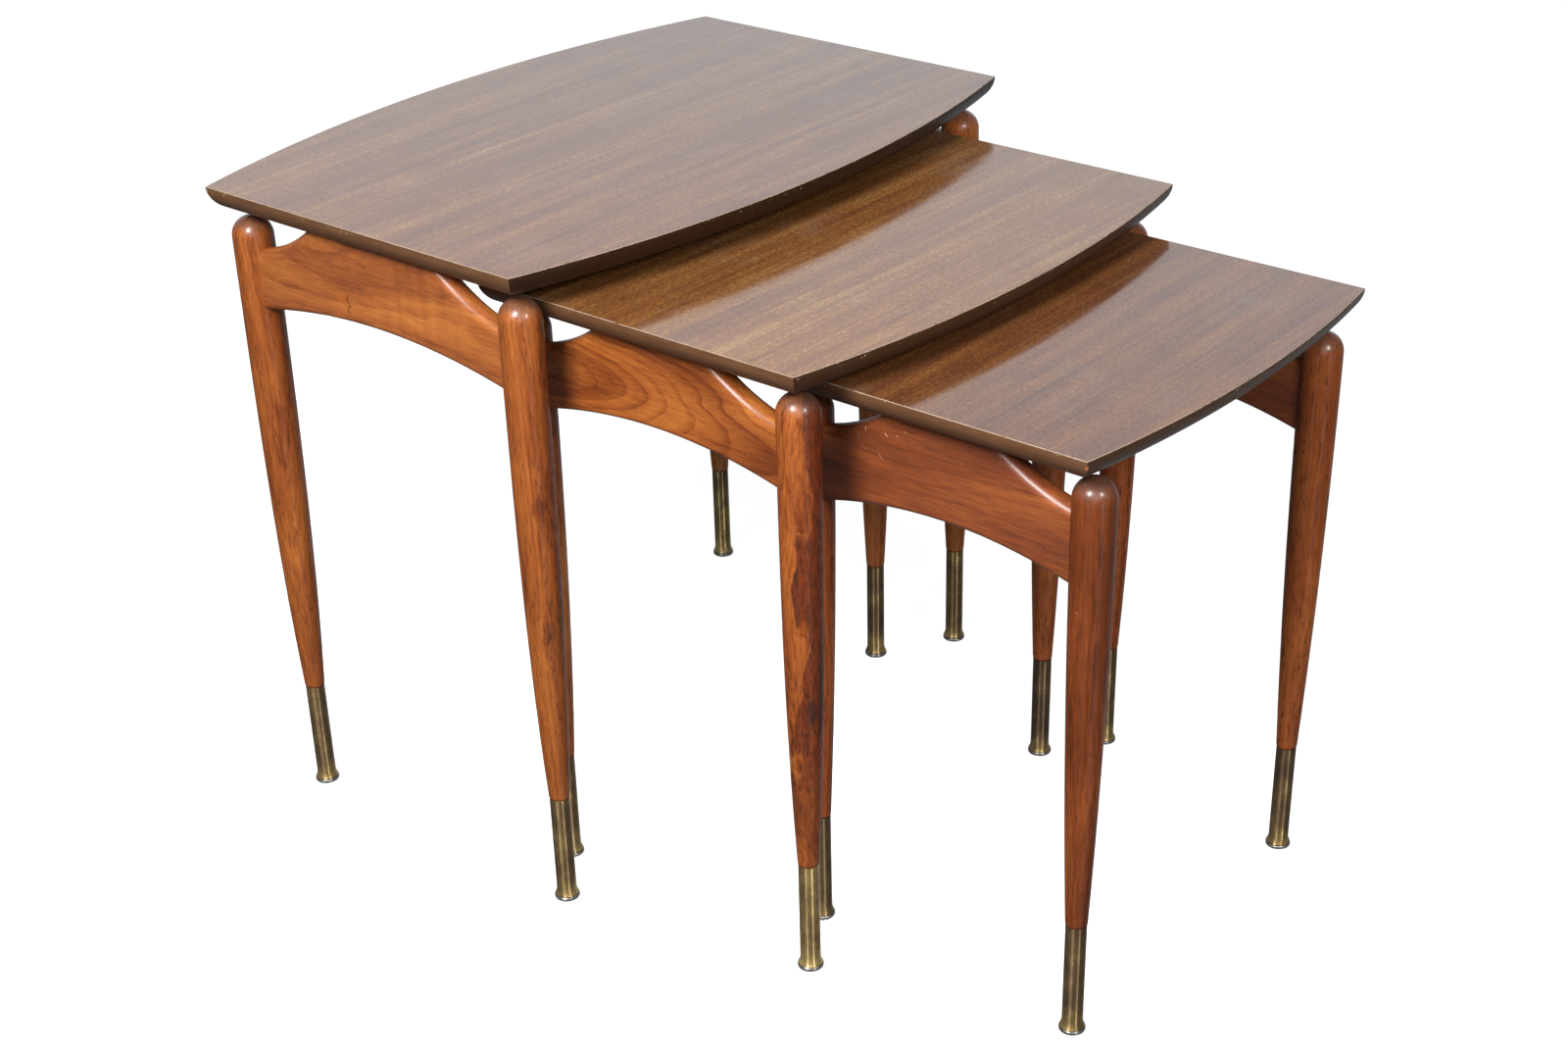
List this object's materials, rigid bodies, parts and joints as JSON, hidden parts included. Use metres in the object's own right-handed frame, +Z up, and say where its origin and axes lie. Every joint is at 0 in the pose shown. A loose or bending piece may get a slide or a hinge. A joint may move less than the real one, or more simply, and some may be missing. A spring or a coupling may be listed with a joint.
{
  "type": "nesting tables",
  "caption": "Nest of bowed-top side tables with wood-grain laminate, floating tops on domed turned walnut legs with brass ferrules; the smaller tables slide out from under the larger.",
  "frame": {"origin": "on the floor, in the middle of the whole set's outline as it stands pulled out", "axes": "+X along the tables' length, -Y towards the side the smaller tables are pulled out of, +Z up"},
  "size_m": [0.602, 0.8229, 0.56],
  "materials": {
    "walnut": "satin-gloss orange-brown lacquer, dark open pores",
    "laminate": "glossy walnut-print laminate, grain along the length",
    "edge_band": "plain dark brown satin",
    "core_board": "bare board",
    "brass": "aged, brown patina with bright streaks",
    "steel": "plain",
    "dowel_wood": "bare"
  },
  "bodies": {
    "large_table": {"large_top_core": "core_board", "large_top_laminate": "laminate", "large_band_front": "edge_band", "large_band_back": "edge_band", "large_band_left": "edge_band", "large_band_right": "edge_band", "large_apron_left": "walnut", "large_apron_right": "walnut", "large_leg_front_left": "walnut", "large_leg_front_right": "walnut", "large_leg_back_left": "walnut", "large_leg_back_right": "walnut", "large_ferrule_front_left": "brass", "large_ferrule_front_right": "brass", "large_ferrule_back_left": "brass", "large_ferrule_back_right": "brass", "large_glides": "steel", "large_dowels": "dowel_wood", "large_screws": "steel"},
    "medium_table": {"medium_top_core": "core_board", "medium_top_laminate": "laminate", "medium_band_front": "edge_band", "medium_band_back": "edge_band", "medium_band_left": "edge_band", "medium_band_right": "edge_band", "medium_apron_left": "walnut", "medium_apron_right": "walnut", "medium_leg_front_left": "walnut", "medium_leg_front_right": "walnut", "medium_leg_back_left": "walnut", "medium_leg_back_right": "walnut", "medium_ferrule_front_left": "brass", "medium_ferrule_front_right": "brass", "medium_ferrule_back_left": "brass", "medium_ferrule_back_right": "brass", "medium_glides": "steel", "medium_dowels": "dowel_wood", "medium_screws": "steel"},
    "small_table": {"small_top_core": "core_board", "small_top_laminate": "laminate", "small_band_front": "edge_band", "small_band_back": "edge_band", "small_band_left": "edge_band", "small_band_right": "edge_band", "small_apron_left": "walnut", "small_apron_right": "walnut", "small_leg_front_left": "walnut", "small_leg_front_right": "walnut", "small_leg_back_left": "walnut", "small_leg_back_right": "walnut", "small_ferrule_front_left": "brass", "small_ferrule_front_right": "brass", "small_ferrule_back_left": "brass", "small_ferrule_back_right": "brass", "small_glides": "steel", "small_dowels": "dowel_wood", "small_screws": "steel"}
  },
  "joints": [
    {"name": "medium_pull", "type": "slide", "parent": "large_table", "child": "medium_table", "axis": [0, -1, 0], "range_m": [-0.22, 0.2]},
    {"name": "small_pull", "type": "slide", "parent": "medium_table", "child": "small_table", "axis": [0, -1, 0], "range_m": [-0.2, 0.16]}
  ]
}
